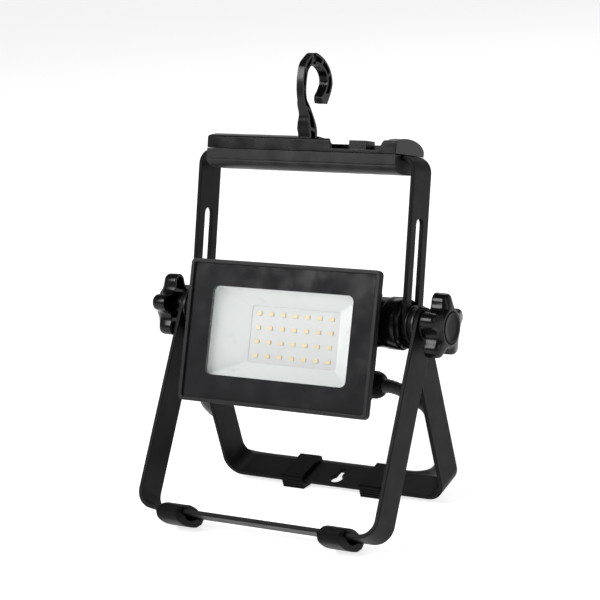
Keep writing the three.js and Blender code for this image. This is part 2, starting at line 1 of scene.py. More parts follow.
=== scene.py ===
# Portable flood work light: a lamp head between three flat-bar frames on one pair of star-knob
# pivots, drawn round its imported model. Lengths are written in millimetres and become metres through
# MM, but for the room's. A frame's own axes lean about the pivot: X to the lamp's right, Z along the
# frame.
import json
import math

import bmesh
import bpy
from mathutils import Matrix, Vector


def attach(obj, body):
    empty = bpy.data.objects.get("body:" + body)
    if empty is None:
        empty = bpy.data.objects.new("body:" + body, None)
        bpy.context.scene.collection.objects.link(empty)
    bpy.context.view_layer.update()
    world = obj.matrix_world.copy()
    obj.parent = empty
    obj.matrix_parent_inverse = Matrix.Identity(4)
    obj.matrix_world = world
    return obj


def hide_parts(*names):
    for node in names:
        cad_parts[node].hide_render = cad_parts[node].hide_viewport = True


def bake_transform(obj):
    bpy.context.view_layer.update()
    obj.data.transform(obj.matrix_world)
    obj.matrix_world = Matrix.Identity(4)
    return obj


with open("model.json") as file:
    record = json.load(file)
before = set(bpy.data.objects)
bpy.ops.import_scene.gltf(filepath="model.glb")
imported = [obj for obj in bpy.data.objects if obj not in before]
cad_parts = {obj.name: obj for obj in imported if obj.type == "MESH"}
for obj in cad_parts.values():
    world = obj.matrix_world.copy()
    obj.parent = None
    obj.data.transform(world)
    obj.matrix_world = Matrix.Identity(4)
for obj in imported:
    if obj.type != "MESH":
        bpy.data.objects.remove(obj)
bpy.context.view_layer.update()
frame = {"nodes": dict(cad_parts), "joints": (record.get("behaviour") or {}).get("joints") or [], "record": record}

MM = 0.001
SCENE = bpy.context.scene
JOINTS = {joint["name"]: joint for joint in frame["joints"]}
PIVOT = Vector(JOINTS["head_tilt"]["pos_m"])
SLOT_OF = {part["node"]: part["material_slot"] for part in frame["record"]["subparts"]}
SIDES = (("left", -1), ("right", 1))

# ---------------------------------------------------------------- driving dimensions, in mm and degrees
BAR_WIDTH = 25
BAR_THICK = 3
HALF_BAR = BAR_WIDTH / 2
FRONT_LEG = {"half_width": 98.1, "reach": 152.3, "bend": 14, "lean": 31.65}
REAR_LEG = {"half_width": 93, "reach": 137.5, "bend": 14, "lean": 13.43}
UPPER = {"half_width": 88.6, "reach": 115.2, "bend": 11, "lean": 15.8}
HEAD_TILT = 20.25
STUD_HOLE = 4.35
SLOT = {"radius": 4.65, "travel": 68.3}
HEAD = {"half_width": 77.2, "low": -68.1, "high": 33.5}
WINDOW = {"half_width": 57.5, "half_height": 31.5, "middle": -16.5, "corner": 4.5}
BOX_HALF_WIDTH = 52
CORD_RADIUS = 4
SHARP_ANGLE = 32

# ---------------------------------------------------------------- frames of reference
def leaning(degrees):
    """The place of a frame that leans back about the pivot by so many degrees."""
    return Matrix.Translation(PIVOT) @ Matrix.Rotation(math.radians(-degrees), 4, "X")


TURNED = Matrix.Rotation(math.pi, 4, "Y")
LEVEL = leaning(0)
IN_UPPER = leaning(UPPER["lean"])
IN_HEAD = leaning(HEAD_TILT)
IN_FRONT = leaning(FRONT_LEG["lean"])
IN_REAR = leaning(-REAR_LEG["lean"])

# A plate is drawn in X and Y and is thick along Z. These turn it to be seen from a side.
SEEN_FROM_FRONT = Matrix(((1, 0, 0, 0), (0, 0, -1, 0), (0, 1, 0, 0), (0, 0, 0, 1)))
SEEN_FROM_SIDE = Matrix(((0, 0, 1, 0), (1, 0, 0, 0), (0, 1, 0, 0), (0, 0, 0, 1)))


# ---------------------------------------------------------------- materials
def finish(name, color, roughness, **sockets):
    """A principled material. Sockets are named with underscores for spaces."""
    material = bpy.data.materials.new(name)
    material.use_nodes = True
    shader = material.node_tree.nodes["Principled BSDF"]
    shader.inputs["Base Color"].default_value = (*color, 1)
    shader.inputs["Roughness"].default_value = roughness
    for socket, value in sockets.items():
        shader.inputs[socket.replace("_", " ")].default_value = value
    return material


def noise(material, size, detail=2):
    """A noise texture whose features are about size mm across."""
    tree = material.node_tree
    place = tree.nodes.new("ShaderNodeTexCoord")
    texture = tree.nodes.new("ShaderNodeTexNoise")
    texture.inputs["Scale"].default_value = 1 / (size * MM)
    texture.inputs["Detail"].default_value = detail
    tree.links.new(place.outputs["Object"], texture.inputs["Vector"])
    return texture


NOISE_RANGE = (0.3, 0.7)


def ramp(material, source, low, high):
    """Maps a grey texture to values from low to high, which are numbers or colours."""
    start, end = NOISE_RANGE
    node = material.node_tree.nodes.new("ShaderNodeMapRange")
    if isinstance(low, tuple):
        node.data_type = "FLOAT_VECTOR"
        node.inputs[7].default_value = (start,) * 3
        node.inputs[8].default_value = (end,) * 3
        node.inputs[9].default_value = low
        node.inputs[10].default_value = high
        material.node_tree.links.new(source.outputs[0], node.inputs[6])
        return node.outputs[1]
    for socket, value in zip(("From Min", "From Max", "To Min", "To Max"), (start, end, low, high)):
        node.inputs[socket].default_value = value
    material.node_tree.links.new(source.outputs[0], node.inputs["Value"])
    return node.outputs[0]


def into(material, output, socket):
    material.node_tree.links.new(output, material.node_tree.nodes["Principled BSDF"].inputs[socket])


def bump(material, source, depth):
    """Raises the surface by depth mm where the texture is bright."""
    tree = material.node_tree
    shader = tree.nodes["Principled BSDF"]
    node = tree.nodes.new("ShaderNodeBump")
    node.inputs["Distance"].default_value = depth * MM
    node.inputs["Strength"].default_value = 1
    tree.links.new(source.outputs[0], node.inputs["Height"])
    tree.links.new(node.outputs["Normal"], shader.inputs["Normal"])


PATCH_SIZE = 14
GLOSS_CHANGE = 0.06


def textured(name, color, spread, roughness, grain, depth, **sockets):
    """A finish with a fine grain, slight colour variation and patches of changing gloss."""
    material = finish(name, color, roughness, **sockets)
    darker = tuple(c * (1 - spread) for c in color)
    lighter = tuple(c * (1 + spread) for c in color)
    patches = noise(material, PATCH_SIZE, 3)
    into(material, ramp(material, patches, darker, lighter), "Base Color")
    into(material, ramp(material, patches, roughness - GLOSS_CHANGE, roughness + GLOSS_CHANGE), "Roughness")
    bump(material, noise(material, grain, 2), depth)
    return material


COAT = textured("powder_coat", (0.0062, 0.006, 0.0064), 0.16, 0.44, 0.6, 0.05, IOR=1.17)
CASTING = textured("head_casting", (0.0108, 0.0106, 0.0115), 0.12, 0.42, 0.7, 0.015, IOR=1.3)
GLOSSY = textured("black_gloss_plastic", (0.003, 0.003, 0.0033), 0.2, 0.22, 5, 0.008, IOR=1.31)
SATIN = textured("satin_plastic", (0.0045, 0.0045, 0.0048), 0.12, 0.36, 0.5, 0.02, IOR=1.16)
GRIP = textured("grip_plastic", (0.02, 0.019, 0.0198), 0.5, 0.44, 0.8, 0.09, IOR=1.24)
RUBBER = textured("foot_rubber", (0.0045, 0.0045, 0.005), 0.15, 0.42, 0.6, 0.02, IOR=1.16)
JACKET = textured("cord_jacket", (0.042, 0.041, 0.041), 0.15, 0.45, 0.6, 0.02, IOR=1.35)
BLACK_STEEL = textured("black_washer", (0.012, 0.012, 0.012), 0.15, 0.34, 0.5, 0.01, IOR=1.4)
STEEL = textured("screw_steel", (0.56, 0.57, 0.58), 0.06, 0.32, 0.4, 0.01, Metallic=1.0)
BRASS = textured("brass_insert", (0.72, 0.52, 0.24), 0.06, 0.32, 0.4, 0.01, Metallic=1.0)
NICKEL = textured("plug_nickel", (0.75, 0.73, 0.69), 0.04, 0.2, 0.5, 0.005, Metallic=1.0)
WHITE = textured("white_reflector", (0.78, 0.8, 0.795), 0.02, 0.32, 1.2, 0.01)
BOARD = textured("white_board", (0.61, 0.62, 0.61), 0.02, 0.4, 0.6, 0.01)
PHOSPHOR = textured("led_phosphor", (0.8, 0.63, 0.31), 0.05, 0.35, 0.3, 0.01)
PRINTED = textured("printed_glass", (0.013, 0.013, 0.0145), 0.1, 0.14, 9, 0.001, Specular_IOR_Level=0.35)
CLEAR = textured("clear_glass", (0.7, 0.74, 0.74), 0.02, 0.08, 9, 0.001, Alpha=0.06)


# ---------------------------------------------------------------- outlines
def arc(x, y, radius, start, end, steps=12):
    """Points of an arc about (x, y), from one angle to another in degrees."""
    angles = [math.radians(start + (end - start) * k / steps) for k in range(steps + 1)]
    return [(x + radius * math.cos(a), y + radius * math.sin(a)) for a in angles]


def spline(points, steps=6):
    """A smooth line through points of any dimension, by centripetal Catmull-Rom."""
    points = [Vector(p) for p in points]
    points = [2 * points[0] - points[1], *points, 2 * points[-1] - points[-2]]
    line = []
    for p0, p1, p2, p3 in zip(points, points[1:], points[2:], points[3:]):
        t1 = (p1 - p0).length ** 0.5
        t2 = t1 + (p2 - p1).length ** 0.5
        t3 = t2 + (p3 - p2).length ** 0.5
        for k in range(steps):
            t = t1 + (t2 - t1) * k / steps
            a1 = p0 * ((t1 - t) / t1) + p1 * (t / t1)
            a2 = p1 * ((t2 - t) / (t2 - t1)) + p2 * ((t - t1) / (t2 - t1))
            a3 = p2 * ((t3 - t) / (t3 - t2)) + p3 * ((t - t2) / (t3 - t2))
            b1 = a1 * ((t2 - t) / t2) + a2 * (t / t2)
            b2 = a2 * ((t3 - t) / (t3 - t1)) + a3 * ((t - t1) / (t3 - t1))
            line.append(b1 * ((t2 - t) / (t2 - t1)) + b2 * ((t - t1) / (t2 - t1)))
    line.append(points[-2])
    return line


# ---------------------------------------------------------------- pieces
def piece(name, mesh, place, material, body, replaced=()):
    """A finished piece: its mesh in mm is put in place, coloured, and rides on a body."""
    mesh.transform(place @ Matrix.Scale(MM, 4))
    mesh.materials.clear()
    mesh.materials.append(material)
    mesh.polygons.foreach_set("use_smooth", [True] * len(mesh.polygons))
    mesh.set_sharp_from_angle(angle=math.radians(SHARP_ANGLE))
    obj = bpy.data.objects.new(name, mesh)
    SCENE.collection.objects.link(obj)
    if body:
        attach(obj, body)
    if replaced:
        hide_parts(*replaced)
    return obj


def even_normals(obj):
    """Keeps flat faces flat where they meet narrow rounded edges."""
    modifier = obj.modifiers.new("even_normals", "WEIGHTED_NORMAL")
    modifier.keep_sharp = True
    return obj


def mesh_from(vertices, faces):
    mesh = bpy.data.meshes.new("mesh")
    mesh.from_pydata([tuple(v) for v in vertices], [], faces)
    mesh.validate()
    return mesh


def edited(mesh, edit):
    """Runs a bmesh edit on a mesh and returns the mesh."""
    bm = bmesh.new()
    bm.from_mesh(mesh)
    edit(bm)
    bm.to_mesh(mesh)
    bm.free()
    return mesh


def loft(rings, closed_ends=True):
    """A skin over rings of equally many points, with flat ends, or else joined end to start."""
    count = len(rings[0])
    vertices = [point for ring in rings for point in ring]
    faces = []
    for r in range(len(rings) - 1 if closed_ends else len(rings)):
        following = (r + 1) % len(rings)
        for k in range(count):
            after = (k + 1) % count
            faces.append((r * count + k, r * count + after, following * count + after, following * count + k))
    if closed_ends:
        faces.append(tuple(reversed(range(count))))
        faces.append(tuple(range(len(vertices) - count, len(vertices))))
    return outward(mesh_from(vertices, faces))


def outward(mesh):
    return edited(mesh, lambda bm: bmesh.ops.recalc_face_normals(bm, faces=bm.faces))


def circle(radius, x, facets):
    turns = [2 * math.pi * k / facets for k in range(facets)]
    return [(x, radius * math.cos(t), radius * math.sin(t)) for t in turns]


def turned(profile, facets=64, hollow=False):
    """A turned piece about the X axis, from a list of (radius, x)."""
    return loft([circle(radius, x, facets) for radius, x in profile], not hollow)


def tube(line, radius, facets=24):
    """A round tube along a line, its section carried along without a twist."""
    line = [Vector(p) for p in line]
    radii = radius if isinstance(radius, list) else [radius] * len(line)
    side = None
    rings = []
    for k, point in enumerate(line):
        ahead = (line[min(k + 1, len(line) - 1)] - line[max(k - 1, 0)]).normalized()
        if side is None:
            side = ahead.orthogonal().normalized()
        side = (side - ahead * side.dot(ahead)).normalized()
        other = ahead.cross(side)
        turns = [2 * math.pi * f / facets for f in range(facets)]
        rings.append([point + (side * math.cos(t) + other * math.sin(t)) * radii[k] for t in turns])
    return loft(rings)


def wound(outline, anticlockwise):
    """The outline, reversed if it runs the other way round."""
    area = sum(a[0] * b[1] - b[0] * a[1] for a, b in zip(outline, outline[1:] + outline[:1]))
    return outline if (area > 0) == anticlockwise else outline[::-1]


def slab(outlines, low, high, edge=0.4, segments=2):
    """A plate from z = low to high with rounded edges. The first outline is its rim, the rest are holes."""
    curve = bpy.data.curves.new("outline", "CURVE")
    curve.dimensions = "2D"
    curve.fill_mode = "BOTH"
    curve.extrude = (high - low) / 2 - edge
    curve.bevel_depth = edge
    curve.bevel_resolution = segments
    curve.offset = -edge
    for k, outline in enumerate(outlines):
        points = wound([tuple(p) for p in outline], k == 0)
        spline_made = curve.splines.new("POLY")
        spline_made.points.add(len(points) - 1)
        for target, (x, y) in zip(spline_made.points, points):
            target.co = (x, y, 0, 1)
        spline_made.use_cyclic_u = True
    holder = bpy.data.objects.new("outline", curve)
    mesh = bpy.data.meshes.new_from_object(holder)
    bpy.data.objects.remove(holder)
    mesh.transform(Matrix.Translation((0, 0, (low + high) / 2)))
    edited(mesh, lambda bm: bmesh.ops.remove_doubles(bm, verts=bm.verts, dist=0.0005))
    return outward(mesh)


def facing_front(mesh, y0=0):
    """A plate drawn in (x, z), its thickness along -Y."""
    mesh.transform(Matrix.Translation((0, y0, 0)) @ SEEN_FROM_FRONT)
    return mesh


def facing_side(mesh):
    """A plate drawn in (y, z), its thickness along X."""
    mesh.transform(SEEN_FROM_SIDE)
    return mesh


def moved(mesh, x, y, z):
    mesh.transform(Matrix.Translation((x, y, z)))
    return mesh


def merged(meshes):
    """Several separate bodies as one mesh."""
    bm = bmesh.new()
    for mesh in meshes:
        bm.from_mesh(mesh)
    whole = bpy.data.meshes.new("mesh")
    bm.to_mesh(whole)
    bm.free()
    return whole


def shaped(mesh, tools, operation="DIFFERENCE"):
    """The mesh with each tool cut away from it, or joined to it with UNION."""
    holder = bpy.data.objects.new("shape", mesh)
    SCENE.collection.objects.link(holder)
    helpers = []
    for tool in tools:
        helper = bpy.data.objects.new("tool", tool)
        SCENE.collection.objects.link(helper)
        helpers.append(helper)
        modifier = holder.modifiers.new("boolean", "BOOLEAN")
        modifier.operation = operation
        modifier.solver = "EXACT"
        modifier.object = helper
    graph = bpy.context.evaluated_depsgraph_get()
    result = bpy.data.meshes.new_from_object(holder.evaluated_get(graph))
    for obj in [holder, *helpers]:
        bpy.data.objects.remove(obj)
    return result


EASED_OVER = 38


def eased_edges(mesh, width):
    """Rounds every edge that turns by more than EASED_OVER degrees."""
    def edit(bm):
        bmesh.ops.remove_doubles(bm, verts=bm.verts, dist=0.001)
        bmesh.ops.dissolve_limit(bm, angle_limit=math.radians(0.5), verts=bm.verts, edges=bm.edges)
        sharp = [e for e in bm.edges if e.is_manifold and e.calc_face_angle(0) > math.radians(EASED_OVER)]
        bmesh.ops.bevel(bm, geom=sharp, offset=width, segments=2, affect="EDGES",
                        profile=0.5, clamp_overlap=True)
    return edited(mesh, edit)


def box_mesh(x0, x1, y0, y1, z0, z1):
    corners = [(x, y, z) for x in (x0, x1) for y in (y0, y1) for z in (z0, z1)]
    faces = [(0, 1, 3, 2), (4, 6, 7, 5), (0, 4, 5, 1), (2, 3, 7, 6), (0, 2, 6, 4), (1, 5, 7, 3)]
    return outward(mesh_from(corners, faces))


def rounded(half_width, low, high, radius, steps=6):
    """A rectangle with rounded corners, centred on x = 0."""
    right, left = half_width - radius, radius - half_width
    corners = ((right, high - radius), (left, high - radius), (left, low + radius), (right, low + radius))
    outline = []
    for quarter, (x, y) in enumerate(corners):
        outline += arc(x, y, radius, 90 * quarter, 90 * quarter + 90, steps)
    return outline


def curved(start, control, end, steps=8):
    """A quadratic curve, without its last point."""
    line = []
    for k in range(steps):
        t = k / steps
        line.append(tuple(a * (1 - t) ** 2 + 2 * c * t * (1 - t) + b * t * t
                          for a, c, b in zip(start, control, end)))
    return line


def ribbed(start, end, count, depth):
    """A straight line with evenly spaced round grooves to its left."""
    start, end = Vector(start), Vector(end)
    along = (end - start) / count
    inward = Vector((-along.y, along.x)).normalized()
    line = []
    for k in range(count):
        for share, sink in ((0, 0), (0.3, 0), (0.4, 0.8), (0.5, 1), (0.6, 0.8), (0.7, 0)):
            line.append(tuple(start + along * (k + share) + inward * depth * sink))
    return line


def on_side(place, side):
    """The place of a piece drawn for the right, turned half round its Z axis for the left."""
    return place @ Matrix.Rotation(math.pi, 4, "Z") if side < 0 else place


# ---------------------------------------------------------------- bent frames
BEND_STEPS = 14


def bent_bar(sizes, holes):
    """A flat bar with round ends and holes, bent into a U with its cross bar at +Z."""
    half_width, reach, bend = sizes["half_width"], sizes["reach"], sizes["bend"]
    straight = half_width - bend
    radius = bend - BAR_THICK / 2
    quarter = radius * math.pi / 2
    pivot_at = straight + quarter + reach - bend
    rim = arc(pivot_at, 0, HALF_BAR, -90, 90, 28) + arc(-pivot_at, 0, HALF_BAR, 90, 270, 28)
    mesh = slab([rim, *holes(pivot_at)], -BAR_THICK / 2, BAR_THICK / 2, 0.5, 2)

    def bend_up(bm):
        for side in (-1, 1):
            for k in range(BEND_STEPS + 1):
                everything = [*bm.verts, *bm.edges, *bm.faces]
                place = (side * (straight + quarter * k / BEND_STEPS), 0, 0)
                bmesh.ops.bisect_plane(bm, geom=everything, plane_co=place, plane_no=(1, 0, 0))
        for vertex in bm.verts:
            along, across, out = vertex.co
            side = 1 if along > 0 else -1
            past = abs(along) - straight
            if past <= 0:
                vertex.co = (along, across, reach - BAR_THICK / 2 + out)
            elif past <= quarter:
                turn = past / radius
                vertex.co = (side * (straight + (radius + out) * math.sin(turn)), across,
                             reach - bend + (radius + out) * math.cos(turn))
            else:
                height = reach - bend - (past - quarter)
                vertex.co = (side * (half_width - BAR_THICK / 2 + out), across, height)
    return edited(mesh, bend_up)


def stud_holes(pivot_at):
    return [arc(side * pivot_at, 0, STUD_HOLE, 0, 350, 35) for side in (-1, 1)]


def slots(pivot_at):
    near, far = pivot_at, pivot_at - SLOT["travel"]
    right = arc(near, 0, SLOT["radius"], -90, 90, 16) + arc(far, 0, SLOT["radius"], 90, 270, 16)
    return [right, [(-x, y) for x, y in right]]


def keyhole(pivot_at):
    head, neck, head_at, neck_at = 4.7, 2.4, -5.5, 4.6
    meets = math.degrees(math.acos(neck / head))
    outline = arc(0, neck_at, neck, 0, 180, 12) + arc(0, head_at, head, 180 - meets, 360 + meets, 24)
    return [outline, *stud_holes(pivot_at)]


even_normals(piece("upper_bar", bent_bar(UPPER, slots), IN_UPPER, COAT, "upper_frame", ["upper_frame"]))
even_normals(piece("front_bar", bent_bar(FRONT_LEG, stud_holes), IN_FRONT @ TURNED, COAT, "front_leg",
                   ["front_frame"]))
even_normals(piece("rear_bar", bent_bar(REAR_LEG, keyhole), IN_REAR @ TURNED, COAT, "stand", ["rear_frame"]))


# ---------------------------------------------------------------- feet
def floor_line(y, lean):
    """The floor's height in a leg's own frame, at a distance y across the bar."""
    angle = math.radians(lean)
    return (-PIVOT.z / MM + y * math.sin(angle)) / math.cos(angle)


FOOT_WIDTH = 17.6
FRONT_FOOT_X = 66
REAR_FOOT_X = 33
FIT = 0.3


def front_foot():
    """A rubber loop pushed over the bar, an almond from the side, hollow under the bar."""
    bar = -FRONT_LEG["reach"]
    front, heel, toe = -20, 15.6, 10.5
    under = [(y, floor_line(y, FRONT_LEG["lean"])) for y in (heel, toe)]
    rim = ribbed((front, bar), (-12.5, -147.2), 4, 0.4) + curved((-12.5, -147.2), (-8, -145.3), (-2, -145.2))
    rim += curved((-2, -145.2), (9, -145.4), (17.3, -151.6)) + [(17.3, -151.6), *under]
    rim += curved(under[1], (-4, -162), (-14.5, -158.8))[1:]
    rim += curved((-14.5, -158.8), (-19, -156.8), (front, bar))
    wide = HALF_BAR + FIT
    top, low = bar + BAR_THICK + FIT, bar - FIT
    hole = [(-wide, top), (-wide, low), (-9, low)] + curved((-9, low), (-1, -158.6), (8, low))[1:]
    hole += [(8, low), (wide, low), (wide, top)]
    return facing_side(slab([rim, hole], -FOOT_WIDTH / 2, FOOT_WIDTH / 2, 0.7, 2))


def rear_foot():
    """A moulded clip round the rear bar, with a raised top plate and grooves along its front."""
    bar = -REAR_LEG["reach"]
    front, chamfer, heel = ((y, floor_line(y, -REAR_LEG["lean"])) for y in (-15.5, -15.1, -5))
    rim = ribbed((-15.5, -132.8), (-15.5, front[1] + 0.6), 4, 0.9)
    rim += [(-15.5, front[1] + 0.4), chamfer, heel, (14, -141.5), (16.2, -140),
            (16.6, -139), (16.6, -132.6), (15.2, -131), (-13.8, -131), (-15.1, -131.7)]
    wide = HALF_BAR + FIT
    top = bar + BAR_THICK + FIT
    hole = [(-wide, bar - FIT), (-wide, top), (wide, top), (wide, bar - FIT)]
    return facing_side(slab([rim, hole], -FOOT_WIDTH / 2, FOOT_WIDTH / 2, 0.22, 2))


for side_name, side in SIDES:
    even_normals(piece(f"front_loop_{side_name}", moved(front_foot(), FRONT_FOOT_X * side, 0, 0), IN_FRONT,
                       RUBBER, "front_leg", [f"front_foot_{side_name}"]))
    even_normals(piece(f"rear_clip_{side_name}", moved(rear_foot(), REAR_FOOT_X * side, 0, 0), IN_REAR,
                       RUBBER, "stand", [f"rear_foot_{side_name}"]))

# ---------------------------------------------------------------- handle and hook
HANDLE = {"half_length": 77.3, "front": -20, "back": 21, "seam": 115.5, "top": 126.8, "low": 101.9}
RECESS = {"front": -17.5, "back": 16.8, "floor": 116.5, "start": 5, "end": 68.6}
HOOK_PIN = {"x": 2, "z": 119.2, "hole": 1.8}
SCREW_X = (-70, 72.9)


def handle_top():
    front, back, seam, top = HANDLE["front"], HANDLE["back"], HANDLE["seam"], HANDLE["top"]
    rim = [(front, seam), (back, seam), (back, 119.5)]
    rim += curved((back, 119.5), (16, 126.4), (-3, top), 12)[1:]
    rim += curved((-3, top), (-12, 126.6), (-18.9, 124.4), 8)
    rim += [(-18.9, 124.4), (front, 123.4)]
    shell = facing_side(slab([rim], -HANDLE["half_length"], HANDLE["half_length"], 0.5, 2))
    over = top + 3
    island = box_mesh(36, 50, -13, -1, RECESS["floor"] - 1, 124.3)
    recess = shaped(box_mesh(RECESS["start"], RECESS["end"], RECESS["front"], RECESS["back"], RECESS["floor"],
                             over), [island])
    knuckle = box_mesh(-5.2, 6, -14.5, -2.4, seam - 1, over)
    notch = facing_front(slab([[(21.8, over), (25.6, 117.7), (63.5, 117.7), (69.4, over)]], 0, 4.5, 0.01, 1),
                         RECESS["front"] + 1)
    return eased_edges(shaped(shell, [recess, knuckle, notch]), 0.25)


def handle_bottom():
    front, back, low = HANDLE["front"], HANDLE["back"], HANDLE["low"]
    seam = HANDLE["seam"] - FIT
    rim = [(front, seam), (front, 108.3), (front + 0.9, 107.6), (front + 0.5, 106.6)]
    rim += curved((front + 0.5, 106.6), (-16, low), (-8, low), 10)[1:] + [(-8, low), (5, low)]
    rim += curved((5, low), (18, 102.4), (back - 0.6, 109), 12)[1:] + [(back - 0.6, 109), (back, seam)]
    shell = facing_side(slab([rim], -HANDLE["half_length"], HANDLE["half_length"], 0.3, 2))
    bar_low = UPPER["reach"] - BAR_THICK - FIT
    long = HANDLE["half_length"] + 1
    channel = box_mesh(-long, long, -HALF_BAR - FIT, HALF_BAR + FIT, bar_low, seam + 1)
    hollow = box_mesh(-62, 62, -16, 16, 104.8, bar_low + 1)
    bores = [turned_z(3.8, low - 1, 105.3, x) for x in SCREW_X]
    return eased_edges(shaped(shell, [channel, hollow, *bores]), 0.25)


def turned_z(radius, z0, z1, x, y=0):
    mesh = turned([(radius, z0), (radius, z1)], 32)
    mesh.transform(Matrix.Translation((x, y, 0)) @ Matrix.Rotation(-math.pi / 2, 4, "Y"))
    return mesh


HOOK_OUTSIDE = [
    (-13, 115.6), (-14.2, 127), (-15.8, 135), (-16.3, 141), (-20.6, 147.5), (-23.6, 157), (-24, 168),
    (-22, 176), (-17.5, 180.5), (-11.2, 184.6), (-4, 183.6), (4.6, 179.8), (11.4, 173.6), (14.7, 165.5),
    (12.8, 158), (8.9, 150.4),
]
HOOK_INSIDE = [
    (-4, 115.6), (-3.4, 126), (-4.8, 134), (-11.2, 144.3), (-17.9, 153), (-18.9, 166), (-17, 172.6),
    (-11.4, 176.4), (-3.2, 176.2), (4.6, 172.2), (7.7, 166.2), (5.8, 160.6), (1.8, 154.6), (3.2, 150.4),
]
# Half the hook's thickness in each of its parts.
HOOK_HALF = {"base": 6, "spine": 2.6, "curl": 3.5, "web": 0.7}
POCKETS = ((0.03, 0.12), (0.14, 0.25), (0.27, 0.37), (0.39, 0.49), (0.51, 0.585), (0.605, 0.69), (0.71, 0.8),
           (0.82, 0.93))


def at_share(line, share):
    """The point at a share of a line's length."""
    target = share * length_of(line)
    for a, b in zip(line, line[1:]):
        step = (b - a).length
        if target <= step:
            return a.lerp(b, target / step)
        target -= step
    return line[-1]


def length_of(line):
    return sum((b - a).length for a, b in zip(line, line[1:]))


def hook():
    """A moulded hook: a straight spine, a curl to the back, and ribbed pockets in both its sides."""
    outside, inside = spline(HOOK_OUTSIDE), spline(HOOK_INSIDE)
    rim = [tuple(p) for p in outside + inside[::-1]]
    base_front = [(4.4, 121.6), (4.3, 131), (3.4, 142), (2.8, 150), (-2.8, 150), (-3.9, 142), (-5.6, 131),
                  (-4.9, 127), (-4.9, 124.5)] + arc(HOOK_PIN["x"], HOOK_PIN["z"], 3.3, 180, 360, 16)

    def thick(half):
        return facing_side(slab([rim], -half, half, 0.01, 1))

    base = shaped(thick(HOOK_HALF["base"]), [facing_front(slab([base_front], -30, 30, 0.01, 1))], "INTERSECT")
    spine = shaped(thick(HOOK_HALF["spine"]), [box_mesh(-9, 9, -40, 30, 138, 190)], "INTERSECT")
    curl = shaped(thick(HOOK_HALF["curl"]), [box_mesh(-9, 9, -10, 30, 145, 190)], "INTERSECT")
    body = shaped(base, [spine, curl], "UNION")
    web = HOOK_HALF["web"]
    tools = []
    for start, end in POCKETS:
        shares = [start + (end - start) * k / 6 for k in range(7)]
        near = [at_share(outside, s).lerp(at_share(inside, s), 0.24) for s in shares]
        far = [at_share(outside, s).lerp(at_share(inside, s), 0.74) for s in shares]
        pocket = [tuple(p) for p in near + far[::-1]]
        tools += [facing_side(slab([pocket], low, high, 0.01, 1)) for low, high in ((web, 9), (-9, -web))]
    pin = turned([(HOOK_PIN["hole"], -20), (HOOK_PIN["hole"], 5)], 24)
    pin.transform(Matrix.Rotation(math.pi / 2, 4, "Z"))
    moved(pin, HOOK_PIN["x"], 0, HOOK_PIN["z"])
    return eased_edges(shaped(body, [*tools, pin]), 0.22)


even_normals(piece("handle_shell", handle_top(), IN_UPPER, GLOSSY, "upper_frame", ["handle_top"]))
even_normals(piece("handle_grip", handle_bottom(), IN_UPPER, GRIP, "upper_frame", ["handle_bottom"]))
even_normals(piece("hook_arm", hook(), IN_UPPER, GLOSSY, "hook", ["hook"]))

# ---------------------------------------------------------------- lamp head
GLASS = {"inset": 1.9, "back": -29, "thick": 2.5}


def head_outline(inset, radius):
    return rounded(HEAD["half_width"] - inset, HEAD["low"] + inset, HEAD["high"] - inset, radius, 8)


WINDOW_RIM = rounded(WINDOW["half_width"], WINDOW["middle"] - WINDOW["half_height"],
                     WINDOW["middle"] + WINDOW["half_height"], WINDOW["corner"], 10)


def bezel():
    """A rim round the glass: a lip in front of it and a skirt over the housing's flange."""
    lip = facing_front(slab([head_outline(0, 3.5), head_outline(2.7, 1.6)], 0, 1.75, 0.35, 3), -31.75)
    skirt = facing_front(slab([head_outline(0, 3.5), head_outline(1.6, 2.4)], 0, 4.6, 0.15, 2), -28)
    return shaped(lip, [skirt], "UNION")


def reflector():
    """A white funnel from the window to the board, its walls bowed a little, with a flange in the tray."""
    def ring(y, half_x, half_z, radius):
        outline = rounded(half_x, -half_z, half_z, radius, 8)
        return [(x, y, WINDOW["middle"] + z) for x, z in outline]
    back = -10.1
    inside = [ring(-27.2, 59.6, 33.4, 5), ring(-26.4, 58.4, 32.4, 4.4), ring(-21, 51.5, 28.6, 3),
              ring(-15, 43.6, 24.4, 2.2), ring(-11.2, 38, 21.3, 1.8), ring(-10.4, 36.6, 20.5, 1.6),
              ring(back, 36.4, 20.4, 1.6)]
    outside = [ring(back, 39, 23, 4), ring(-21, 53.5, 30.6, 5), ring(-26, 60, 34, 6), ring(-26, 67, 39.5, 4),
               ring(-27.2, 67, 39.5, 4)]
    return loft(inside + outside, closed_ends=False)


LED_BOARD = {"half_width": 46, "half_height": 27, "thick": 1.6}
LEDS = {"columns": 7, "rows": 4, "pitch": 10, "width": 3.5, "height": 2.8, "plane": -9.8}


def led_grid(build):
    """One small body at each place of the LED grid, merged."""
    bodies = []
    for column in range(LEDS["columns"]):
        for row in range(LEDS["rows"]):
            x = (column - (LEDS["columns"] - 1) / 2) * LEDS["pitch"]
            z = WINDOW["middle"] + (row - (LEDS["rows"] - 1) / 2) * LEDS["pitch"]
            bodies.append(moved(build(), x, 0, z))
    return merged(bodies)


def led_case():
    return facing_front(slab([rounded(LEDS["width"] / 2, -LEDS["height"] / 2, LEDS["height"] / 2, 0.3, 3)],
                             0, 0.7, 0.1, 1), LEDS["plane"] + 0.02)


def led_lens():
    return facing_front(slab([rounded(1.7, -1.36, 1.36, 0.4, 4)], 0, 0.2, 0.05, 1), LEDS["plane"] - 0.62)


def board():
    middle, half, thick = WINDOW["middle"], LED_BOARD["half_height"], LED_BOARD["thick"]
    outline = rounded(LED_BOARD["half_width"], middle - half, middle + half, 2, 4)
    return facing_front(slab([outline], 0, thick, 0.12, 1), LEDS["plane"] + thick)


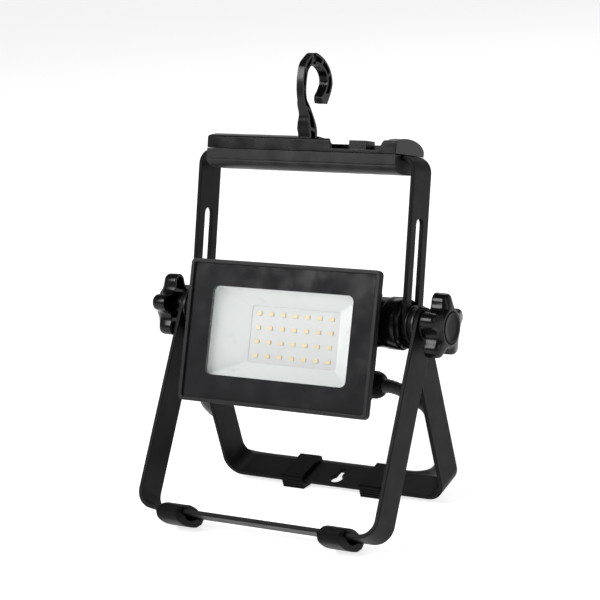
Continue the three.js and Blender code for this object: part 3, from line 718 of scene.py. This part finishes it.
def head_piece(name, mesh, material, *replaced):
    return even_normals(piece(name, mesh, IN_HEAD, material, "head", replaced))


head_piece("bezel_rim", bezel(), CASTING, "bezel")
border = facing_front(slab([head_outline(GLASS["inset"], 2), WINDOW_RIM], 0, GLASS["thick"], 0.06, 1),
                      GLASS["back"])
head_piece("glass_border", border, PRINTED, "front_glass")
pane = facing_front(slab([WINDOW_RIM], 0, GLASS["thick"], 0.03, 1), GLASS["back"])
head_piece("glass_window", pane, CLEAR, "front_glass")
head_piece("reflector_funnel", reflector(), WHITE, "reflector")
head_piece("board_plate", board(), BOARD, "led_board")
head_piece("led_cases", led_grid(led_case), BOARD, "led_board")
head_piece("led_phosphor", led_grid(led_lens), PHOSPHOR, "led_board")

# ---------------------------------------------------------------- barrels and gland
BARREL = {"neck": 17.6, "radius": 18.4, "shoulder": 71, "end": 85.3, "bore": 6.8}


def barrel():
    start = BOX_HALF_WIDTH + FIT
    end, bore, neck, radius = (BARREL[key] for key in ("end", "bore", "neck", "radius"))
    return turned([(bore, start), (neck - 0.5, start), (neck, start + 0.5), (neck, BARREL["shoulder"]),
                   (radius - 0.4, BARREL["shoulder"] + 0.6), (radius, BARREL["shoulder"] + 1.4),
                   (radius, end - 3.6), (radius - 0.3, end - 3.1), (radius - 1.3, end - 3),
                   (radius - 1.3, end - 0.6), (radius - 1.8, end), (bore + 0.5, end),
                   (bore, end - 0.5)], 96, True)


for side_name, side in SIDES:
    piece(f"barrel_{side_name}", barrel(), on_side(IN_HEAD, side), GLOSSY, "head",
          [f"spacer_barrel_{side_name}"])

GLAND = {"y": 5.5, "z": -43.6, "ribs": 12, "rib_depth": 0.35}


def gland_nut():
    """A domed nut with grip ribs round its waist."""
    start = BOX_HALF_WIDTH + 5.3
    rings = []
    profile = [(6.3, 0, 0), (9.3, 0, 0.4), (9.8, 0.5, 1), (9.8, 4.8, 1), (9.5, 5.4, 0.6), (8.9, 7.4, 0),
               (7.9, 9.1, 0), (6.6, 10, 0), (5.6, 10.1, 0), (5, 9.9, 0), (4.7, 9.4, 0), (4.7, 7.4, 0),
               (6.3, 7.4, 0)]
    for radius, x, rib in profile:
        ring = []
        for k in range(96):
            turn = 2 * math.pi * k / 96
            r = radius - GLAND["rib_depth"] * rib * max(0, math.cos(GLAND["ribs"] * turn))
            ring.append((start + x, GLAND["y"] + r * math.cos(turn), GLAND["z"] + r * math.sin(turn)))
        rings.append(ring)
    return loft(rings, closed_ends=False)


piece("gland_dome", gland_nut(), IN_HEAD, SATIN, "head", ["gland_nut"])

# ---------------------------------------------------------------- washers and knobs
WASHERS = (("slot_washer", 13.4, 88.9, 89.7, "carrier", IN_UPPER),
           ("leg_washer", 13.4, 93.3, 94.8, "stand", IN_REAR),
           ("knob_washer", 10.5, 98.4, 99.9, None, LEVEL))


def washer(radius, x0, x1):
    return turned([(STUD_HOLE, x0), (radius - 0.2, x0), (radius, x0 + 0.2), (radius, x1 - 0.2),
                   (radius - 0.2, x1), (STUD_HOLE, x1)], 64, True)


def star(first, lobe_radius, waist, x, lobes=5, centre=17.3):
    """A ring in the shape of a star knob's outline, at x."""
    ring = []
    lean = math.radians(86)
    for k in range(lobes):
        at = math.radians(first) + 2 * math.pi * k / lobes
        y, z = centre * math.cos(at), centre * math.sin(at)
        for turn in (at + lean * step / 7 for step in range(-7, 8)):
            ring.append((x, y + lobe_radius * math.cos(turn), z + lobe_radius * math.sin(turn)))
        after = at + 2 * math.pi / lobes
        between = at + math.pi / lobes
        start = (y + lobe_radius * math.cos(at + lean), z + lobe_radius * math.sin(at + lean))
        end = (centre * math.cos(after) + lobe_radius * math.cos(after - lean),
               centre * math.sin(after) + lobe_radius * math.sin(after - lean))
        dip = (waist * math.cos(between), waist * math.sin(between))
        ring += [(x, *p) for p in curved(start, dip, end, 9)[1:]]
    return ring


def knob(first):
    """A five-lobed knob: lobes cored from behind, a front that rises to a round seat for its cap."""
    outline = star(first, 6.1, 11.3, 0)

    def round_ring(radius, x):
        return [(x, y * radius / math.hypot(y, z), z * radius / math.hypot(y, z)) for _, y, z in outline]

    def between(a, b, share, x):
        return [(x, p[1] + (q[1] - p[1]) * share, p[2] + (q[2] - p[2]) * share) for p, q in zip(a, b)]

    rim = star(first, 4.3, 10.3, 115.9)
    hub = round_ring(12.8, 118.1)
    rings = [round_ring(4.35, 112.3), round_ring(4.35, 100.4), round_ring(4.6, 100.2), round_ring(8.9, 100.2),
             round_ring(9.4, 100.7), round_ring(9.8, 111.5), star(first, 3.7, 9.1, 111.5),
             star(first, 4, 9.4, 105.6), star(first, 4.4, 9.8, 105.1), star(first, 5.5, 10.8, 105),
             star(first, 6, 11.2, 105.4), star(first, 6.15, 11.35, 106.2), star(first, 6, 11.25, 113.3),
             star(first, 5.8, 11.1, 114.4), star(first, 5.2, 10.8, 115.3), rim, between(rim, hub, 0.5, 117.1),
             between(rim, hub, 0.85, 117.9), hub, round_ring(12.2, 118.3), round_ring(11.6, 118.2),
             round_ring(11.3, 117.9), round_ring(11.2, 115.7)]
    return loft(rings)


def knob_cap():
    return turned([(10.9, 115.9), (10.95, 117.9), (10.7, 118.4), (10.2, 118.6), (9.6, 118.5), (9, 118.2),
                   (5, 118), (1, 117.95)], 64)


KNOB_TURN = {"left": 93, "right": 80}
for side_name, side in SIDES:
    for washer_name, radius, x0, x1, body, place in WASHERS:
        piece(f"{washer_name}_disc_{side_name}", washer(radius, x0, x1), on_side(place, side),
              BLACK_STEEL, body or f"knob_{side_name}", [f"{washer_name}_{side_name}"])
    piece(f"star_{side_name}", knob(KNOB_TURN[side_name]), on_side(LEVEL, side), GLOSSY, f"knob_{side_name}",
          [f"knob_{side_name}"])
    piece(f"cap_{side_name}", knob_cap(), on_side(LEVEL, side), SATIN, f"knob_{side_name}",
          [f"knob_cap_{side_name}"])

# ---------------------------------------------------------------- mains lead
CORD_ROUTE = [
    (68, -9.9, -42.8), (71.5, -9.8, -42.9), (75.3, -8.7, -44), (78.8, -6, -46.5), (81, -1.7, -50.2),
    (82.4, 3.4, -54.5), (83.3, 9.8, -59.8), (83.8, 18, -66.3), (82.9, 26.5, -75.5), (82, 33.5, -86),
    (81, 39.5, -96), (79.8, 44.5, -106.5), (75.7, 49.6, -119.3), (66, 54.4, -130), (52, 57, -135.4),
    (36, 57.6, -136.4), (10, 57.6, -136.5), (-25, 57.6, -136.5), (-60, 57.6, -136.5), (-82, 57.8, -136.5),
    (-97, 59.5, -136.5), (-108.5, 64, -136.5), (-120, 72.5, -136.5), (-136.5, 91.5, -136.5),
    (-154, 113, -136.5), (-173.5, 131.5, -136.5), (-193.5, 147.5, -136.5), (-208, 161.5, -136.5),
    (-216.5, 176, -136.5), (-222, 189.5, -136.5),
]
COIL = {"x": -181, "y": 238, "outer": 53.6, "middle": 45, "inner": 36.6, "top": 49.3, "low": 4.2,
        "high": 12.6, "start": 200, "swept": 1075, "steps": 220,
        "to_middle": (270, 345), "to_inner": (630, 705), "rise": (865, 950), "to_top": (950, 1070)}
TAIL_ROUTE = [(-225.7, 217.2, 12.6), (-231.5, 232, 12.5), (-234.5, 248, 12.4), (-235.3, 262, 13),
              (-235.2, 272, 15.1), (-235.2, 279, 16.7), (-235.1, 287, 18.4), (-235, 292, 18.9),
              (-235, 298.5, 19)]
PLUG = {"x": -235, "radius": 19, "back": 297, "shoulder": 313.7, "face": 347, "pin_x": 9.5}
BOOT = {"points": 5, "near": 5.2, "far": 4.2, "taper": 0.6, "groove": 0.22}
# The floor's height, in mm from the pivot.
FLOOR = -PIVOT.z / MM


def eased(value, start, end):
    """0 before start, 1 after end, and smooth between them."""
    t = min(max((value - start) / (end - start), 0), 1)
    return t * t * (3 - 2 * t)


def coil_line():
    """About two and a half turns on the floor, each inside the last, then part of one on top."""
    line = []
    for step in range(COIL["steps"] + 1):
        swept = COIL["swept"] * step / COIL["steps"]
        radius = COIL["outer"] + (COIL["middle"] - COIL["outer"]) * eased(swept, *COIL["to_middle"])
        radius += (COIL["inner"] - COIL["middle"]) * eased(swept, *COIL["to_inner"])
        radius += (COIL["top"] - COIL["inner"]) * eased(swept, *COIL["to_top"])
        height = COIL["low"] + (COIL["high"] - COIL["low"]) * eased(swept, *COIL["rise"])
        turn = math.radians(COIL["start"] - swept)
        line.append((COIL["x"] + radius * math.cos(turn), COIL["y"] + radius * math.sin(turn),
                     FLOOR + height))
    return line


def lead_line():
    """The whole lead's centre line, in mm from the pivot."""
    coil = coil_line()
    approach = spline(CORD_ROUTE + coil[:2], 6)[:-7]
    tail = [(x, y, FLOOR + z) for x, y, z in TAIL_ROUTE]
    way_out = spline(coil[-2:] + tail, 6)[6:]
    return [Vector(p) for p in [*approach, *coil, *way_out]]


def boot():
    """A tapering sleeve over the start of the lead, with shallow rings round it."""
    line = spline(CORD_ROUTE[:BOOT["points"] + 1], 6)
    radii = []
    for k in range(len(line)):
        share = k / (len(line) - 1)
        groove = BOOT["groove"] if k % 4 == 2 and 0.15 < share < 0.9 else 0
        radii.append(BOOT["near"] + (BOOT["far"] - BOOT["near"]) * share ** BOOT["taper"] - groove)
    return tube(line, radii)


def plug():
    """A moulded round plug lying on its side, its cable end tapered and gripped by three rings."""
    back, shoulder, face, radius = PLUG["back"], PLUG["shoulder"], PLUG["face"], PLUG["radius"]
    profile = [(5.2, back), (6, back + 0.6), (6.6, back + 3), (6.1, back + 3.6), (7, back + 6.4),
               (6.5, back + 7), (7.6, back + 9.8), (8.6, back + 11.5), (12.5, shoulder - 2), (15.5, shoulder),
               (17.4, shoulder + 3), (18.3, shoulder + 8), (18.4, face - 8), (radius, face - 7),
               (radius, face - 0.8), (radius - 0.8, face)]
    return standing(turned(profile, 72))


def plug_pin(x):
    face = PLUG["face"]
    profile = [(2.4, face + 0.2), (2.4, face + 17), (2.1, face + 18.3), (1.2, face + 19)]
    return moved(standing(turned(profile, 32)), x, 0, 0)


def standing(mesh):
    """Turns a piece made about the X axis to lie along Y, at the plug's place."""
    mesh.transform(Matrix.Rotation(math.pi / 2, 4, "Z"))
    return moved(mesh, PLUG["x"], 0, FLOOR + PLUG["radius"])


line = lead_line()
lead = piece("mains_lead", tube(line, CORD_RADIUS), LEVEL, JACKET, None, ["cord", "cord_coil", "cord_tail"])
boot_piece = piece("lead_boot", boot(), LEVEL, JACKET, None)
for soft in (lead, boot_piece):
    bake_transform(soft)
plug_piece = piece("plug_moulding", plug(), LEVEL, JACKET, "stand", ["plug_body"])
pins = [piece(f"pin_{k + 1}", plug_pin(x), LEVEL, NICKEL, "stand", [f"plug_pin_{k + 1}"])
        for k, x in enumerate((-PLUG["pin_x"], PLUG["pin_x"]))]

# ---------------------------------------------------------------- camera, light and floor
VIEW = {"target": (-1.26, -0.8, 11.49), "azimuth": 32.57, "elevation": 15.15, "roll": -4.92,
        "distance": 1453.4, "lens": 123.35}
# The room is in metres. A light has its name, place, target, size and power in watts.
FLOOR_HALF = 6
SKY = {"From Min": 0.15, "From Max": 0.7, "To Min": 0.4, "To Max": 0.1}
LIGHTS = (("key", (-0.7, -1.3, 1.3), (0, 0, 0.15), (0.9, 0.9), 30),
          ("side", (1.6, -0.2, 0.9), (0, 0, 0.15), (0.7, 1.2), 5),
          ("back", (-0.3, 1.5, 1.4), (0, 0, 0.2), (1.2, 0.6), 8))


def make_camera():
    azimuth, elevation = math.radians(VIEW["azimuth"]), math.radians(VIEW["elevation"])
    back = Vector((math.sin(azimuth) * math.cos(elevation), -math.cos(azimuth) * math.cos(elevation),
                   math.sin(elevation)))
    data = bpy.data.cameras.new("camera")
    data.sensor_width = 36
    data.lens = VIEW["lens"]
    camera = bpy.data.objects.new("camera", data)
    turn = (-back).to_track_quat("-Z", "Y").to_matrix().to_4x4()
    place = Matrix.Translation(LEVEL @ (Vector(VIEW["target"]) * MM) + back * VIEW["distance"] * MM)
    camera.matrix_world = place @ turn @ Matrix.Rotation(math.radians(VIEW["roll"]), 4, "Z")
    SCENE.collection.objects.link(camera)
    SCENE.camera = camera


def area_light(name, place, target, size, power):
    data = bpy.data.lights.new(name, "AREA")
    data.shape = "RECTANGLE"
    data.size, data.size_y = size
    data.energy = power
    lamp = bpy.data.objects.new(name, data)
    lamp.location = place
    lamp.rotation_euler = (Vector(target) - Vector(place)).to_track_quat("-Z", "Y").to_euler()
    SCENE.collection.objects.link(lamp)


def make_floor():
    half = FLOOR_HALF
    mesh = mesh_from([(-half, -half, 0), (half, -half, 0), (half, half, 0), (-half, half, 0)], [(0, 1, 2, 3)])
    floor = bpy.data.objects.new("floor", mesh)
    paint = textured("floor_paint", (0.75, 0.75, 0.75), 0.01, 0.7, 3, 0.02, Emission_Color=(1, 1, 1, 1),
                     Emission_Strength=0.75, IOR=1.22)
    mesh.materials.append(paint)
    SCENE.collection.objects.link(floor)


def make_world():
    """White to the camera. As light it is brightest near the horizon and dim overhead."""
    world = bpy.data.worlds.new("room")
    world.use_nodes = True
    tree = world.node_tree
    light = tree.nodes["Background"]
    above = tree.nodes.new("ShaderNodeTexCoord")
    parts = tree.nodes.new("ShaderNodeSeparateXYZ")
    height = tree.nodes.new("ShaderNodeMapRange")
    for socket, value in SKY.items():
        height.inputs[socket].default_value = value
    tree.links.new(above.outputs["Generated"], parts.inputs[0])
    tree.links.new(parts.outputs["Z"], height.inputs["Value"])
    tree.links.new(height.outputs[0], light.inputs["Strength"])
    seen = tree.nodes.new("ShaderNodeBackground")
    seen.inputs["Strength"].default_value = 1
    rays = tree.nodes.new("ShaderNodeLightPath")
    either = tree.nodes.new("ShaderNodeMixShader")
    for background in (light, seen):
        background.inputs["Color"].default_value = (1, 1, 1, 1)
    tree.links.new(rays.outputs["Is Camera Ray"], either.inputs["Fac"])
    tree.links.new(light.outputs[0], either.inputs[1])
    tree.links.new(seen.outputs[0], either.inputs[2])
    tree.links.new(either.outputs[0], tree.nodes["World Output"].inputs["Surface"])
    SCENE.world = world


make_camera()
make_floor()
make_world()
for light_sizes in LIGHTS:
    area_light(*light_sizes)
SCENE.view_settings.view_transform = "Standard"

NODE_FINISH = {
    "powder_coat": COAT, "foot_rubber": RUBBER, "satin_plastic": SATIN, "black_gloss_plastic": GLOSSY,
    "head_casting": CASTING, "silicone": RUBBER, "white_reflector": WHITE, "white_board": BOARD,
    "driver_moulding": SATIN, "brass_insert": BRASS, "screw_steel": STEEL, "cord_jacket": JACKET,
    "plug_nickel": NICKEL, "clear_glass": CLEAR, "black_washer": BLACK_STEEL,
}
for node, obj in frame["nodes"].items():
    obj.data.materials.clear()
    obj.data.materials.append(NODE_FINISH[SLOT_OF[node]])
